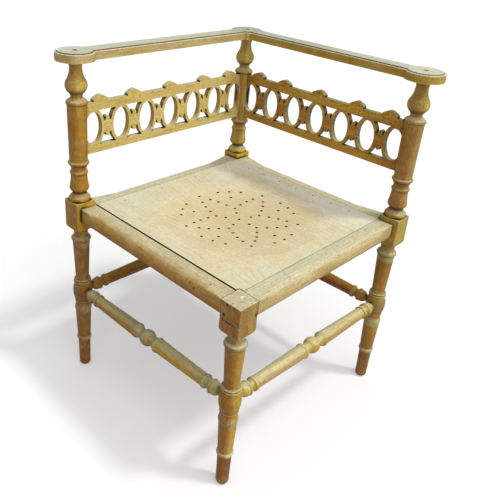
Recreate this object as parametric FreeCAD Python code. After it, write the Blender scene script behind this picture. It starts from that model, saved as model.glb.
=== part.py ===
"""Corner chair with turned posts, rounded seat rails, pierced back rails and round-ended arms.

Millimetres, Z up. The origin lies on the floor in the middle of the rectangle through the
post axes. The front leg stands towards -X -Y and the back post towards +X +Y.
"""

import math
import os

import FreeCAD
import Part

V = FreeCAD.Vector
UP = V(0, 0, 1)
overshoot = 1.0  # how far a cut or a joined form runs past the surface it meets
tolerance = 0.01

# Plan
span_x = 480.0  # between the left and back post axes
span_y = 460.0  # between the right and back post axes
block = 45.0  # side of the square block left on each post
setback = 10.0  # seat rails and front leg stand this far inside the post blocks

# Levels
seat_height = 422.0
arm_underside = 725.0
stretcher_height = 208.0
post_block_rise = 11.5  # top of the post blocks above the seat
post_block_drop = 52.0  # flat underside of the post blocks below the seat
front_block_drop = 61.5
upper_height = 291.5  # from block top to arm for which the upper outlines are drawn
block_corner_radius = 28.0  # the lathe cone starts to cut the block corners at this radius
block_ease = 1.6  # rounding of the worn block edges

# Turned outlines
turned_unit = 1.0  # size of one drawn millimetre

# Joints
fit = 0.1  # clearance around tenons, pegs, dowels and housings
rail_height = 30.0
tenon_thick = 10.0
tenon_height = 20.0
tenon_cheek = 5.0  # wood between the rail face and its tenon
tenon_apart = 2.0  # wood between two tenons that meet in one block
peg_dia = 5.0
peg_past_tenon = 3.0
round_tenon_dia = 16.0
round_tenon_apart = 1.5

# Seat rails and panel
edge_radius = 19.0
edge_stop = 21.0  # square stop of the two front rails beside the left and right posts
edge_runout = 26.0
edge_start_radius = 0.6
front_stop = 5.0  # shorter stop and longer run-out of the two front rails beside the front leg
front_runout = 62.0
front_start_radius = 2.5
back_stop = 8.0  # short stop and long run-out at both ends of the two back rails
back_runout = 62.0
lower_edge_ease = 1.5
ledge_width = 28.0
panel_thick = 6.0
panel_gap = 0.8
panel_gap_front_left = 4.2
dish_depth = 12.0
dish_centre = V(-6.0, -10.0, 0)
dish_margin = 3.0
hole_dia = 6.2
petals = 5
petal_angle = 54.0
nail_inset = 20.5
nail_head_dia = 3.5
nail_head_thick = 0.8
nail_dia = 1.6
nail_length = 22.0
long_nail_pitch = 103.0
long_nail_count = 4
short_nail_pitch = 49.0
short_nail_count = 7

# Marks of use on the front leg and the front left rail
old_nail_dia = 2.6
old_nail_depth = 3.0
old_block_nails = [(0.79, 26.2), (0.65, 4.5)]  # (share of the block width, below the seat)
old_side_nail = (0.9, 26.5)
old_rail_nail = (61.6, 15.8)  # (past the leg axis, in from the rail face)
split_width = 0.9
split_depth = 2.0
split_drop = 37.5  # below the seat

# Arms
arm_thick = 18.0
arm_width = 45.0
arm_disc_radius = 38.5
arm_field_rise = 2.0
arm_field_inset = 5.0
arm_edge_round = 2.0
spigot_dia = 20.0
spigot_length = 8.0
screw_hole_dia = 10.0
screw_hole_depth = 7.0
screw_head_dia = 8.6
screw_head_thick = 3.0
screw_dia = 5.0
screw_length = 38.0
screw_slot_width = 1.3
screw_slot_depth = 1.4
screw_slot_angle = 30.0
dowel_dia = 6.0
dowel_length = 24.0
dowel_offset = 24.0

# Pierced rails
pierced_thick = 12.0
pierced_above_block = 97.0
pierced_below_arm = 87.5
shaft_top_dia = 39.5
shaft_foot_dia = 37.3
housing_depth = 9.0
loops = 7
loop_width = 40.0
loop_band = 6.0  # wood around each oval, at its sides
loop_band_ends = 8.0
loop_top_margin = 20.5
loop_foot_margin = 18.5
spandrel_top_margin = 18.0
spandrel_foot_margin = 16.0
web_half_height = 17.0
web_notch = 6.0
web_notch_half_width = 3.0
nub_width = 8.4
nub_rise = 4.5
web_reach = 16.0  # half length of the bridge, its ends lying inside the oval bands
crest_width = 34.0
crest_shoulder = 4.5
crest_rise = 12.5
crest_swell = 0.66  # share of the head's rise reached half way to its peak
crest_from_post = 33.0

arm_top = arm_underside + arm_thick
rail_width = block - setback
rail_bottom = seat_height - rail_height
tenon_length = block - setback - tenon_cheek - tenon_thick - tenon_apart
round_tenon_end = round_tenon_dia / 2 + round_tenon_apart
block_top = seat_height + post_block_rise
upper_stretch = (arm_underside - block_top) / upper_height
pierced_bottom = block_top + pierced_above_block * upper_stretch
pierced_top = arm_underside - pierced_below_arm * upper_stretch
loop_bottom = pierced_bottom + loop_foot_margin * upper_stretch
loop_top = pierced_top - loop_top_margin * upper_stretch
loop_middle = (loop_bottom + loop_top) / 2
loop_half_height = (loop_top - loop_bottom) / 2
housing_end = shaft_top_dia / 2 - housing_depth
opening_x = span_x / 2 - block / 2
opening_y = span_y / 2 - block / 2

order = ["front", "right", "back", "left"]
corner = {
    "front": V(-span_x / 2, -span_y / 2, 0),
    "right": V(span_x / 2, -span_y / 2, 0),
    "back": V(span_x / 2, span_y / 2, 0),
    "left": V(-span_x / 2, span_y / 2, 0),
}
axis = dict(corner)
axis["front"] = corner["front"] + V(setback, setback, 0)
outset = {"front": 0.0, "right": setback, "back": setback, "left": setback}


class Turning:
    """Outline of a turned stick, drawn along its axis from one end as positions and diameters.

    Positions are drawn millimetres from a reference level; diameters are drawn millimetres
    too, except where a method takes a named size.
    """

    def __init__(self, level, size):
        self.level = 0.0
        self.along = 1.0
        self.first = V(0, 0, level)
        self.at = V(size / 2, 0, level)
        self.edges = [Part.makeLine(self.first, self.at)]

    def measure_from(self, level, along):
        self.level = level
        self.along = along

    def point(self, place, dia):
        return V(dia * turned_unit / 2, 0, self.level + place * self.along)

    def line_to(self, end):
        self.edges.append(Part.makeLine(self.at, end))
        self.at = end

    def line(self, place, dia):
        self.line_to(self.point(place, dia))

    def line_to_size(self, place, size):
        self.line_to(V(size / 2, 0, self.level + place * self.along))

    def arc_through(self, middle, end):
        self.edges.append(Part.Arc(self.at, middle, end).toShape())
        self.at = end

    def arc(self, mid_place, mid_dia, place, dia):
        self.arc_through(self.point(mid_place, mid_dia), self.point(place, dia))

    def bead(self, place, dia):
        """Half-round ring from here to place, dia wide in its middle."""
        end = V(self.at.x, 0, self.point(place, 0).z)
        self.arc_through(V(self.point(place, dia).x, 0, (self.at.z + end.z) / 2), end)

    def solid(self):
        last = V(0, 0, self.at.z)
        self.edges.append(Part.makeLine(self.at, last))
        self.edges.append(Part.makeLine(last, self.first))
        return Part.Face(Part.Wire(self.edges)).revolve(V(0, 0, 0), UP, 360)


def box(x0, x1, y0, y1, z0, z1):
    return Part.makeBox(x1 - x0, y1 - y0, z1 - z0, V(x0, y0, z0))


def prism(points, z0, z1):
    outline = Part.makePolygon([V(x, y, z0) for x, y in points + points[:1]])
    return Part.Face(outline).extrude(V(0, 0, z1 - z0))


def rod(start, direction, length, dia):
    return Part.makeCylinder(dia / 2, length, start, direction)


def leg_turning(turning, bottom):
    """Lower leg, from the underside of the block down to the floor."""
    turning.measure_from(bottom, -turned_unit)
    turning.line(0, 38)
    turning.arc(8, 31.5, 16, 29.5)
    turning.arc(21, 33, 24, 39)
    turning.arc(27, 42, 31, 39.5)
    turning.arc(33, 37.2, 36, 36.3)
    turning.measure_from(stretcher_height, -turned_unit)
    turning.line(-34, 28.6)
    turning.arc(-32.5, 29.6, -32, 32.5)
    turning.bead(-28, 36.5)
    turning.line(-27.5, 34.5)
    turning.bead(-21.5, 38.5)
    turning.line(-21, 35)
    turning.arc(0, 42.2, 23.5, 33)
    turning.bead(28, 35.6)
    turning.arc(30.5, 32.2, 33, 33.6)
    turning.arc(38, 35, 41, 36.2)
    turning.bead(48, 37.6)
    turning.arc(51, 35.4, 55, 34.6)
    turning.measure_from(0, turned_unit)
    turning.line(84, 29)
    turning.bead(75, 33)
    turning.line(74.5, 27.4)
    turning.line(11, 25.4)
    turning.arc(3.2, 22.4, 0, 15)


def squared(turned, bottom, top, at):
    """Turned stick with its square block, the lower block corners cut by the lathe."""
    square = box(-block / 2, block / 2, -block / 2, block / 2, bottom, top)
    worn = [edge for edge in square.Edges if max(v.Z for v in edge.Vertexes) > top - tolerance]
    square = square.makeFillet(block_ease, worn)
    reach = top - bottom
    cone = Part.makeCone(block_corner_radius, block_corner_radius + reach, reach, V(0, 0, bottom))
    stick = turned.fuse(square.common(cone))
    stick.translate(at)
    return stick


def post_blank(at):
    turning = Turning(arm_underside + spigot_length, spigot_dia)
    turning.line_to_size(arm_underside, spigot_dia)
    turning.measure_from(arm_underside, -turned_unit * upper_stretch)
    turning.line(0, 36)
    turning.arc(6, 28.5, 18, 25)
    turning.arc(27, 28, 37, 36)
    turning.arc(51, 43.5, 62, 33)
    turning.arc(66, 26, 69.5, 23.6)
    turning.line(72, 23.6)
    turning.arc(74.5, 27.5, 77, 36)
    turning.line(79, 40.5)
    turning.bead(86, 43.4)
    turning.line_to_size(86.5, shaft_top_dia)
    turning.measure_from(block_top, turned_unit * upper_stretch)
    turning.line_to_size(91, shaft_foot_dia)
    turning.arc(87.5, 38.4, 86, 41.5)
    turning.bead(81, 43.4)
    turning.arc(76, 34.2, 71, 31)
    turning.arc(67.5, 32.2, 65, 35)
    turning.bead(59.5, 37.4)
    turning.line(58, 33.6)
    turning.arc(44, 35.4, 31, 40)
    turning.arc(25, 38.2, 20, 27)
    turning.line(18.5, 25.6)
    turning.arc(15, 31, 10.5, 38)
    turning.line(9.5, 40)
    turning.arc(4.5, 45, 0, 42)
    bottom = seat_height - post_block_drop
    leg_turning(turning, bottom)
    return squared(turning.solid(), bottom, block_top, at)


def front_leg_blank(at):
    bottom = seat_height - front_block_drop
    turning = Turning(seat_height, block / 2)
    leg_turning(turning, bottom)
    return squared(turning.solid(), bottom, seat_height, at)


class Side:
    """One side of the seat: a frame whose X runs from block to block along the outer rail face."""

    def __init__(self, index):
        self.a = order[index]
        self.b = order[(index + 1) % 4]
        self.angle = 90.0 * index
        self.u = V(round(math.cos(math.radians(self.angle))), round(math.sin(math.radians(self.angle))), 0)
        self.n = V(-self.u.y, self.u.x, 0)
        inset = (axis[self.a] - corner[self.a]).dot(self.u)
        along = self.u * (inset + block / 2)
        self.start = corner[self.a] + along - self.n * (block / 2 - setback)
        self.length = (axis[self.b] - axis[self.a]).dot(self.u) - block

    def place(self, shape):
        shape.rotate(V(0, 0, 0), UP, self.angle)
        shape.translate(self.start)
        return shape

    def tenon(self, end, grow):
        x0 = -tenon_length if end == "a" else self.length
        z0 = rail_bottom + (rail_height - tenon_height) / 2
        y0 = tenon_cheek
        shape = box(x0, x0 + tenon_length, y0 - grow, y0 + tenon_thick + grow,
                    z0 - grow, z0 + tenon_height + grow)
        return shape

    def peg(self, end, grow):
        x = -tenon_length / 2 if end == "a" else self.length + tenon_length / 2
        back = outset[self.a if end == "a" else self.b]
        length = back + tenon_cheek + tenon_thick + peg_past_tenon
        start = V(x, -back, rail_bottom + rail_height / 2)
        return rod(start, V(0, 1, 0), length, peg_dia + 2 * grow)


def edge_end(side, post_name):
    """Stop, run-out and first radius of the rounded edge at the end of a rail beside this post."""
    if post_name == "front":
        return front_stop, front_runout, front_start_radius
    if "back" in (side.a, side.b):
        return back_stop, back_runout, edge_start_radius
    return edge_stop, edge_runout, edge_start_radius


def rounding(side):
    """Wood taken off the upper outer edge, running out to nothing before the stops."""
    near_stop, near_runout, near_radius = edge_end(side, side.a)
    far_stop, far_runout, far_radius = edge_end(side, side.b)
    sections = [
        (near_stop, near_radius),
        (near_stop + near_runout, edge_radius),
        (side.length - far_stop - far_runout, edge_radius),
        (side.length - far_stop, far_radius),
    ]
    wires = []
    for x, radius in sections:
        low = seat_height - radius
        corner_in = V(x, radius, seat_height)
        corner_low = V(x, 0, low)
        middle = V(x, radius * (1 - math.sqrt(0.5)), low + radius * math.sqrt(0.5))
        above = V(x, radius, seat_height + overshoot)
        outside = V(x, -overshoot, seat_height + overshoot)
        below = V(x, -overshoot, low)
        wires.append(Part.Wire([
            Part.Arc(corner_in, middle, corner_low).toShape(),
            Part.makeLine(corner_low, below),
            Part.makeLine(below, outside),
            Part.makeLine(outside, above),
            Part.makeLine(above, corner_in),
        ]))
    return Part.makeLoft(wires, True, True)


def ledge_outline(side):
    inner = rail_width + ledge_width
    first = block if side.a == "front" else rail_width
    last = block if side.b == "front" else rail_width
    points = [(0, rail_width - overshoot)]
    if first > rail_width:
        points.append((0, first))
    else:
        points.append((0, rail_width))
    points.append((inner - first, inner))
    points.append((side.length - inner + last, inner))
    points.append((side.length, last))
    points.append((side.length, rail_width - overshoot))
    return points


def seat_rail(side):
    bar = box(0, side.length, 0, rail_width, rail_bottom, seat_height)
    ledge = prism(ledge_outline(side), rail_bottom, seat_height - panel_thick)
    rail = bar.fuse([ledge, side.tenon("a", 0), side.tenon("b", 0)])
    low = rail_bottom + lower_edge_ease
    under = rail_bottom - overshoot
    points = [V(0, -overshoot, under), V(0, lower_edge_ease, under),
              V(0, lower_edge_ease, rail_bottom), V(0, 0, low), V(0, -overshoot, low)]
    ease = Part.Face(Part.makePolygon(points + points[:1])).extrude(V(side.length, 0, 0))
    rail = rail.cut([rounding(side), ease, side.peg("a", fit), side.peg("b", fit)])
    return side.place(rail)


def stretcher_line(a, b):
    start = axis[a] + UP * stretcher_height
    return start, axis[b] - axis[a]


def stretcher_mortise(leg, other):
    """Blind round mortise in the ball of a leg, along the line to the other leg."""
    start, run = stretcher_line(leg, other)
    direction = V(run).normalize()
    return rod(start + direction * round_tenon_end, direction, block, round_tenon_dia + 2 * fit)


def stretcher(a, b):
    start, run = stretcher_line(a, b)
    half = run.Length / 2
    turning = Turning(0, 34.4 * turned_unit)
    turning.measure_from(0, turned_unit)
    turning.arc(7.5, 31, 11.5, 23.6)
    turning.arc(15.5, 21, 19, 22.4)
    turning.arc(24, 25, 28, 29.8)
    turning.bead(34, 32)
    turning.line(34.6, 29.2)
    turning.measure_from(half, -turned_unit)
    turning.line(63.4, 24.8)
    turning.line(63, 26.6)
    turning.bead(57, 29)
    turning.arc(55.5, 22.6, 53, 20)
    turning.line(51.5, 20)
    turning.arc(48, 22.6, 45, 27.4)
    turning.bead(41, 29.8)
    turning.arc(32, 25.6, 26, 17)
    turning.line_to_size(25, round_tenon_dia)
    turning.measure_from(half, -1.0)
    turning.line_to_size(round_tenon_end, round_tenon_dia)
    side = turning.solid()
    whole = side.fuse(side.mirror(V(0, 0, 0), UP)).removeSplitter()
    whole.Placement = FreeCAD.Placement(start + run * 0.5, FreeCAD.Rotation(UP, run))
    return whole


def oval(x, y, half_width, half_height):
    face = Part.Face(Part.Wire(Part.Ellipse(V(0, 0, 0), half_height, half_width).toShape()))
    face.rotate(V(0, 0, 0), UP, 90)
    face.translate(V(x, y, -pierced_thick))
    return face.extrude(V(0, 0, 2 * pierced_thick))


def crest(x):
    """Bump on the top edge, with upright shoulders and a softly pointed head."""
    y = pierced_top + crest_shoulder
    half = crest_width / 2
    peak = V(x, pierced_top + crest_rise, 0)
    swell = (crest_rise - crest_shoulder) * crest_swell
    left = V(x - half, y, 0)
    right = V(x + half, y, 0)
    foot = pierced_top - overshoot
    wire = Part.Wire([
        Part.makeLine(V(x - half, foot, 0), left),
        Part.Arc(left, V(x - half / 2, y + swell, 0), peak).toShape(),
        Part.Arc(peak, V(x + half / 2, y + swell, 0), right).toShape(),
        Part.makeLine(right, V(x + half, foot, 0)),
        Part.makeLine(V(x + half, foot, 0), V(x - half, foot, 0)),
    ])
    face = Part.Face(wire)
    face.translate(V(0, 0, -pierced_thick / 2))
    return face.extrude(V(0, 0, pierced_thick))


def web_edge(x, sign):
    """Upper (1) or lower (-1) edge of the bridge: two notches and a round nub between them."""
    half = nub_width / 2
    notch = half + web_notch_half_width
    edge = loop_middle + sign * web_half_height * upper_stretch
    low = edge - sign * web_notch * upper_stretch
    nub_foot = edge - sign * web_notch * upper_stretch / 4
    nub_top = V(x, edge + sign * nub_rise * upper_stretch, 0)
    left = [V(x - web_reach, edge, 0), V(x - notch - web_notch_half_width, edge, 0),
            V(x - notch, low, 0), V(x - half, nub_foot, 0)]
    right = [V(2 * x - point.x, point.y, 0) for point in reversed(left)]
    edges = [Part.makeLine(a, b) for a, b in zip(left, left[1:])]
    edges.append(Part.Arc(left[-1], nub_top, right[0]).toShape())
    edges += [Part.makeLine(a, b) for a, b in zip(right, right[1:])]
    return left[0], right[-1], edges


def web(x):
    """Bridge between two ovals, with its notched edges above and below."""
    upper_left, upper_right, edges = web_edge(x, 1)
    lower_left, lower_right, lower_edges = web_edge(x, -1)
    edges += [Part.makeLine(upper_right, lower_right)] + lower_edges
    edges.append(Part.makeLine(lower_left, upper_left))
    face = Part.Face(Part.Wire(Part.__sortEdges__(edges)))
    face.translate(V(0, 0, -pierced_thick))
    return face.extrude(V(0, 0, 2 * pierced_thick))


def spandrel(x, pitch):
    """Opening above and below the web, between two ovals and their bands."""
    reach = pitch / 2
    opening = box(x - reach, x + reach, pierced_bottom + spandrel_foot_margin * upper_stretch,
                  pierced_top - spandrel_top_margin * upper_stretch, -pierced_thick, pierced_thick)
    half_height = loop_half_height + loop_band_ends * upper_stretch
    bands = [oval(x + sign * reach, loop_middle, loop_width / 2 + loop_band, half_height)
             for sign in (-1, 1)]
    return opening.cut(bands + [web(x)])


def pierced_rail(span, angle, at):
    half = span / 2 - housing_end
    pitch = span / loops
    board = box(-half, half, pierced_bottom, pierced_top, -pierced_thick / 2, pierced_thick / 2)
    last_crest = span / 2 - shaft_top_dia / 2 - crest_from_post
    crests = [crest(x) for x in (-last_crest, -1.5 * pitch, 0, 1.5 * pitch, last_crest)]
    board = board.fuse(crests).removeSplitter()
    steps = [i - (loops - 1) / 2 for i in range(loops)]
    holes = [oval(i * pitch, loop_middle, loop_width / 2, loop_half_height) for i in steps]
    holes += [spandrel((i + 0.5) * pitch, pitch) for i in steps[:-1]]
    board = board.cut(holes)
    board.rotate(V(0, 0, 0), V(1, 0, 0), 90)
    board.rotate(V(0, 0, 0), UP, angle)
    board.translate(at)
    return board


def housing(at, angle):
    """Slot in a post shaft for the end of a pierced rail that runs off at this angle."""
    half = pierced_thick / 2 + fit
    slot = box(housing_end, shaft_top_dia, -half, half, pierced_bottom, pierced_top + fit)
    slot.rotate(V(0, 0, 0), UP, angle)
    slot.translate(at)
    return slot


def arm_outline(start, end, inset, z0, z1):
    half = arm_width / 2 - inset
    run = end - start
    bar = box(0, run.Length, -half, half, z0, z1)
    bar.rotate(V(0, 0, 0), UP, math.degrees(math.atan2(run.y, run.x)))
    bar.translate(start)
    discs = [rod(at + UP * z0, UP, z1 - z0, 2 * (arm_disc_radius - inset)) for at in (start, end)]
    return bar.fuse(discs).removeSplitter()


def mitre_side(sign):
    """Half space on one side of the mitre plane over the back post."""
    reach = 2 * (span_x + span_y)
    y0 = 0 if sign > 0 else -reach
    half_space = box(-reach, reach, y0, y0 + reach, 0, reach)
    half_space.rotate(V(0, 0, 0), UP, 45)
    half_space.translate(axis["back"])
    return half_space


def arm(name, sign):
    start = axis[name]
    end = axis["back"]
    edge_top = arm_top - arm_field_rise
    band = arm_outline(start, end, 0, arm_underside, edge_top)
    rims = [edge for edge in band.Edges
            if min(v.Z for v in edge.Vertexes) > edge_top - tolerance]
    band = band.makeFillet(arm_edge_round, rims)
    field = arm_outline(start, end, arm_field_inset, edge_top, arm_top)
    body = band.fuse(field).common(mitre_side(sign))
    cuts = []
    for at in (start, end):
        cuts.append(rod(at + UP * arm_underside, UP, spigot_length, spigot_dia + 2 * fit))
        cuts.append(rod(at + UP * arm_underside, UP, arm_thick, screw_dia + 2 * fit))
        cuts.append(rod(at + UP * (arm_top - screw_hole_depth), UP, arm_thick, screw_hole_dia))
    return body.cut(cuts + dowels(fit))


def dowels(grow):
    across = V(1, -1, 0).normalize()
    along = V(1, 1, 0).normalize()
    level = axis["back"] + UP * (arm_underside + arm_thick / 2)
    return [rod(level + along * (sign * dowel_offset) - across * (dowel_length / 2), across,
                dowel_length, dowel_dia + 2 * grow) for sign in (-1, 1)]


def screw(at):
    seat = at + UP * (arm_top - screw_hole_depth)
    head = rod(seat, UP, screw_head_thick, screw_head_dia)
    slot = box(-screw_head_dia, screw_head_dia, -screw_slot_width / 2, screw_slot_width / 2,
               0, screw_head_thick)
    slot.rotate(V(0, 0, 0), UP, screw_slot_angle)
    slot.translate(seat + UP * (screw_head_thick - screw_slot_depth))
    shank = rod(seat, UP * -1, screw_length, screw_dia)
    return head.fuse(shank).cut(slot)


def screw_pilot(at):
    top = arm_top - screw_hole_depth
    return rod(at + UP * (top - screw_length), UP, screw_length, screw_dia + 2 * fit)


def nail_places():
    places = []
    for i in range(long_nail_count):
        x = (i - (long_nail_count - 1) / 2) * long_nail_pitch
        places.append(V(x, opening_y - nail_inset, seat_height))
    for i in range(short_nail_count):
        y = (i - (short_nail_count - 1) / 2) * short_nail_pitch
        places.append(V(opening_x - nail_inset, y, seat_height))
    return places


def nail(at, grow):
    head = rod(at - UP * nail_head_thick, UP, nail_head_thick, nail_head_dia + 2 * grow)
    shank = rod(at - UP * nail_length, UP, nail_length, nail_dia + 2 * grow)
    return head.fuse(shank)


def perforations():
    """Centre hole and the rings of a rosette, as (radius, turn, spread) for each petal."""
    half_turn = 180.0 / petals
    rings = [(28.8, 0, [0]), (48.8, 0, [0]), (65.8, 0, [-13.8, 13.8]), (83.5, half_turn, [-13.6, 13.6]),
             (97.0, 0, [0]), (100.0, half_turn, [-6.9, 6.9]), (121.8, 0, [-12.5, 0, 12.5]),
             (122.5, half_turn, [0])]
    centres = [V(dish_centre)]
    for petal in range(petals):
        for radius, turn, spread in rings:
            for offset in spread:
                angle = math.radians(petal_angle + petal * 360.0 / petals + turn + offset)
                centres.append(dish_centre + V(math.cos(angle), math.sin(angle), 0) * radius)
    low = seat_height - dish_depth - 2 * panel_thick
    return [rod(at + UP * low, UP, seat_height + overshoot - low, hole_dia) for at in centres]


def seat_panel():
    x0 = -opening_x + panel_gap_front_left
    y0 = -opening_y + panel_gap
    x1 = opening_x - panel_gap
    y1 = opening_y - panel_gap
    notch_x = -opening_x + setback + panel_gap
    notch_y = -opening_y + setback + panel_gap
    outline = [(notch_x, y0), (x1, y0), (x1, y1), (x0, y1), (x0, notch_y), (notch_x, notch_y)]
    low = seat_height - panel_thick
    plate = prism(outline, low, seat_height)
    inner = min(opening_x, opening_y) - ledge_width
    radius = inner - max(abs(dish_centre.x), abs(dish_centre.y)) - dish_margin
    sphere = (radius ** 2 + dish_depth ** 2) / (2 * dish_depth)
    centre = dish_centre + UP * (seat_height - dish_depth + sphere)
    outer = Part.makeSphere(sphere + panel_thick, centre)
    bulge = outer.common(box(-opening_x, opening_x, -opening_y, opening_y,
                             low - 2 * dish_depth, low))
    panel = plate.fuse(bulge).cut([Part.makeSphere(sphere, centre)] + perforations())
    return panel.cut([nail(at, fit / 2) for at in nail_places()])


def block_marks():
    """Two old nail holes and a split in the left face of the front block, one hole in the right."""
    left = axis["front"].x - block / 2
    face = axis["front"].y - block / 2
    marks = [rod(V(left, face + share * block, seat_height - drop), V(1, 0, 0), old_nail_depth,
                 old_nail_dia) for share, drop in old_block_nails]
    share, drop = old_side_nail
    marks.append(rod(V(left + share * block, face, seat_height - drop), V(0, 1, 0), old_nail_depth,
                     old_nail_dia))
    z = seat_height - split_drop
    marks.append(box(left, left + split_depth, face, face + block, z - split_width / 2, z + split_width / 2))
    return marks


def rail_mark():
    """Old nail hole in the top of the front left rail."""
    past, inward = old_rail_nail
    at = V(axis["front"].x - block / 2 + inward, axis["front"].y + past, seat_height - old_nail_depth)
    return rod(at, UP, old_nail_depth, old_nail_dia)


def post(name):
    at = axis[name]
    index = order.index(name)
    before = order[index - 1]
    after = order[(index + 1) % 4]
    blank = front_leg_blank(at) if name == "front" else post_blank(at)
    cuts = [stretcher_mortise(name, before), stretcher_mortise(name, after)]
    for side, end in ((sides[index - 1], "b"), (sides[index], "a")):
        cuts.append(side.place(side.tenon(end, fit)))
        cuts.append(side.place(side.peg(end, fit)))
    if name != "front":
        cuts.append(screw_pilot(at))
    if name in ("left", "back"):
        cuts.append(housing(at, 0 if name == "left" else 180))
    if name in ("right", "back"):
        cuts.append(housing(at, 90 if name == "right" else 270))
    if name == "front":
        cuts += block_marks()
    return blank.cut(cuts)


def save(name, shapes):
    solids = []
    for shape in shapes:
        if len(shape.Solids) != 1 or not shape.isValid():
            raise RuntimeError("%s is not one sound solid" % name)
        solids.append(shape.Solids[0])
    result = solids[0] if len(solids) == 1 else Part.makeCompound(solids)
    result.exportStep("parts/%s.step" % name)


sides = [Side(index) for index in range(4)]
rail_names = ["front_right", "back_right", "back_left", "front_left"]
tall = ["left", "right", "back"]
os.makedirs("parts", exist_ok=True)

for name in tall:
    save("post_" + name, [post(name)])
save("front_leg", [post("front")])
nail_holes = [nail(at, fit / 2) for at in nail_places()]
for side, name in zip(sides, rail_names):
    marks = [rail_mark()] if name == "front_left" else []
    save("seat_rail_" + name, [seat_rail(side).cut(nail_holes + marks)])
    save("stretcher_" + name, [stretcher(side.a, side.b)])
save("seat_panel", [seat_panel()])
save("seat_panel_nails", [nail(at, 0) for at in nail_places()])
save("rail_pegs", [side.place(side.peg(end, 0)) for side in sides for end in ("a", "b")])
save("pierced_rail_left", [pierced_rail(span_x, 0, V(0, span_y / 2, 0))])
save("pierced_rail_right", [pierced_rail(span_y, 90, V(span_x / 2, 0, 0))])
save("arm_left", [arm("left", 1)])
save("arm_right", [arm("right", -1)])
save("arm_screws", [screw(axis[name]) for name in tall])
save("arm_corner_dowels", dowels(0))
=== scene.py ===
"""Corner chair: the looks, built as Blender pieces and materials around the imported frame.

Metres, Z up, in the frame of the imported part. The front leg stands towards -X -Y and the
back post towards +X +Y. Each piece or group of like pieces has its own operator, and the
sidebar panel lists them in the order in which main() calls them.
"""

import math

import bpy
from mathutils import Matrix, Vector


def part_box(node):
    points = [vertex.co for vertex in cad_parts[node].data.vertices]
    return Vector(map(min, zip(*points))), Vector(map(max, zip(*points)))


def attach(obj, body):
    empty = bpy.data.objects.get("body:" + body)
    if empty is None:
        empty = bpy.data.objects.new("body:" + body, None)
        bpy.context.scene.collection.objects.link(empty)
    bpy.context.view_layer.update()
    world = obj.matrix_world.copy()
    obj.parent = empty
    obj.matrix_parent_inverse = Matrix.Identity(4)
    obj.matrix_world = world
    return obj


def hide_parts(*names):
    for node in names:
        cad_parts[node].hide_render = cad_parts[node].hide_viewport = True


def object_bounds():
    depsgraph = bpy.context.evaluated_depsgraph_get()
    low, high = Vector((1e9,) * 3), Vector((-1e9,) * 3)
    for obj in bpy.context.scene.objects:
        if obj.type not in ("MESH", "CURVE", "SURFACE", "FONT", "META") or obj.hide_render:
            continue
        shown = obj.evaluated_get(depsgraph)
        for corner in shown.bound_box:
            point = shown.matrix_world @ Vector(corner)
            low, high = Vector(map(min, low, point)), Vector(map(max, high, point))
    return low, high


bl_info = {
    "name": "Corner Chair",
    "version": (1, 0, 0),
    "blender": (4, 5, 0),
    "location": "3D View > Sidebar > Corner Chair",
    "description": "Dresses the packed corner chair with turned, sawn and bleached wood",
    "category": "Object",
}

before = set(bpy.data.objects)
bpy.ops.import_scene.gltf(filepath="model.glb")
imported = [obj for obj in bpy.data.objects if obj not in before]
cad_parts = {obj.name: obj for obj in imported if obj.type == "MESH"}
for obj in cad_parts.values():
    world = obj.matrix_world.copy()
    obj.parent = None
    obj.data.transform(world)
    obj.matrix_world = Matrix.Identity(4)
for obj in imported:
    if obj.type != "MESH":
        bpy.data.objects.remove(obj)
CAD_BOX = [list(corner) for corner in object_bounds()]
MM = 0.001

# Posts at the ends of each side of the seat
SIDE_ENDS = {
    "front_left": ("front", "left"),
    "front_right": ("front", "right"),
    "back_left": ("left", "back"),
    "back_right": ("right", "back"),
}


def plan_middle(node_name):
    """Middle of a CAD node in plan, to a tenth of a millimetre."""
    low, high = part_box(node_name)
    return Vector((round((low.x + high.x) / 2, 4), round((low.y + high.y) / 2, 4), 0))


# Axes of the posts and the front leg, half the side of a block, and heights, from the frame
POST = {
    "left": plan_middle("post_left"),
    "right": plan_middle("post_right"),
    "back": plan_middle("post_back"),
    "front": plan_middle("front_leg"),
}
HALF_BLOCK = round(POST["back"].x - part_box("post_back")[0].x, 4)
SEAT_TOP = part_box("front_leg")[1].z
ARM_TOP = CAD_BOX[1][2]

# Middle of the leg balls, and middle of the dish as in the part's source
LEG_BALL_HEIGHT = 0.206
DISH_CENTRE = (-0.006, -0.010, SEAT_TOP)

# Board nails, in one row along each of the two back sides
NAIL_INSET = 0.0205
NAIL_STEP_X, NAILS_X = 0.103, 4
NAIL_STEP_Y, NAILS_Y = 0.049, 7
NAIL_FACETS = 16

# Stage
FLOOR_REACH = 30.0
FLOOR_TONE_SEEN = 0.98
FLOOR_TONE_BOUNCED = 0.5
FLOOR_GLOW = 1.03
SHADOW_SUN_WAY = (-0.27, 0.40, -1.0)
FRONT_SUN_WAY = (0.15, 0.75, -0.80)
CAMERA_PLACE = (-0.8607, -0.7415, 0.9921)
CAMERA_RIGHT = (0.71722, -0.69432, 0.05920)
CAMERA_UP = (0.25880, 0.34429, 0.90249)
CAMERA_BACK = (-0.64700, -0.63196, 0.42663)
CAMERA_LENS = 43.22
CAMERA_SENSOR = 36.0
CAMERA_SHIFT = (0.089, -0.111)
CAMERA_SEES_TO = 100.0


def shade(red, green, blue):
    """Linear colour of an eye colour written 0 to 255."""
    linear = []
    for part in (red, green, blue):
        part = part / 255.0
        linear.append(part / 12.92 if part <= 0.04045 else ((part + 0.055) / 1.055) ** 2.4)
    return tuple(linear)


def colour(label, about, value):
    return bpy.props.FloatVectorProperty(name=label, description=about, subtype="COLOR", size=3,
                                         min=0.0, max=1.0, default=shade(*value))


def length(label, about, millimetres):
    return bpy.props.FloatProperty(name=label, description=about, subtype="DISTANCE", unit="LENGTH",
                                   min=0.0, default=millimetres * MM)


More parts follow.
